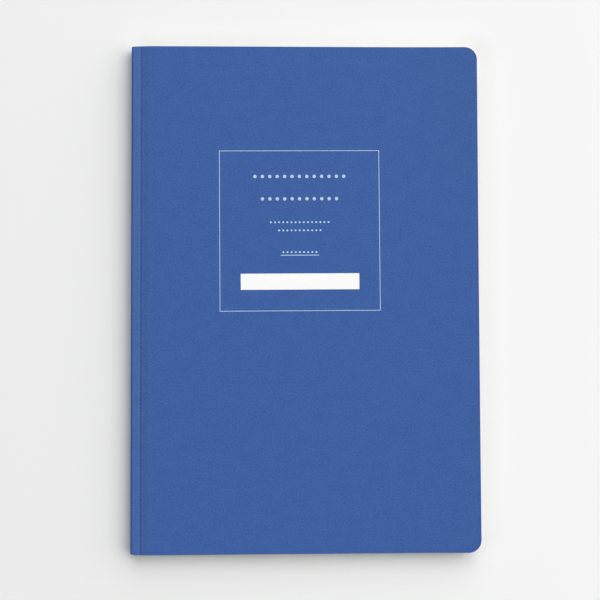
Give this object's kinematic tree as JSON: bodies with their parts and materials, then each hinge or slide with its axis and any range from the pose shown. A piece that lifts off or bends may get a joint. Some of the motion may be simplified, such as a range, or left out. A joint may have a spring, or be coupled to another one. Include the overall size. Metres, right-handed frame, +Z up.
{
  "type": "composition notebook",
  "caption": "Soft-cover composition notebook with a glued back, scored card covers, round fore-edge corners and a plain framed label to write in.",
  "frame": {"origin": "centre of the underside of the closed notebook, on the surface that it lies on", "axes": "+Z up out of the front cover, +Y to the head of the page, +X to the fore edge, so the spine is at -X"},
  "size_m": [0.1744, 0.254, 0.0062],
  "materials": {
    "page_paper": "matte",
    "binding_glue": "satin",
    "cover_card": "matte",
    "label_white": "matte"
  },
  "bodies": {
    "bound_block": {"page_block": "page_paper", "spine_glue": "binding_glue", "spine_wrap": "cover_card"},
    "front_board": {"front_cover": "cover_card", "label_frame": "label_white", "label_dots": "label_white", "title_rule": "label_white", "title_field": "label_white"},
    "back_board": {"back_cover": "cover_card"}
  },
  "joints": [
    {"name": "front_cover_hinge", "type": "hinge", "parent": "bound_block", "child": "front_board", "pos_m": [-0.08245, 0, 0.00625], "axis": [0, -1, 0], "range_deg": [0, 180]},
    {"name": "back_cover_hinge", "type": "hinge", "parent": "bound_block", "child": "back_board", "pos_m": [-0.08245, 0, -0.00005], "axis": [0, 1, 0], "range_deg": [0, 180]}
  ]
}
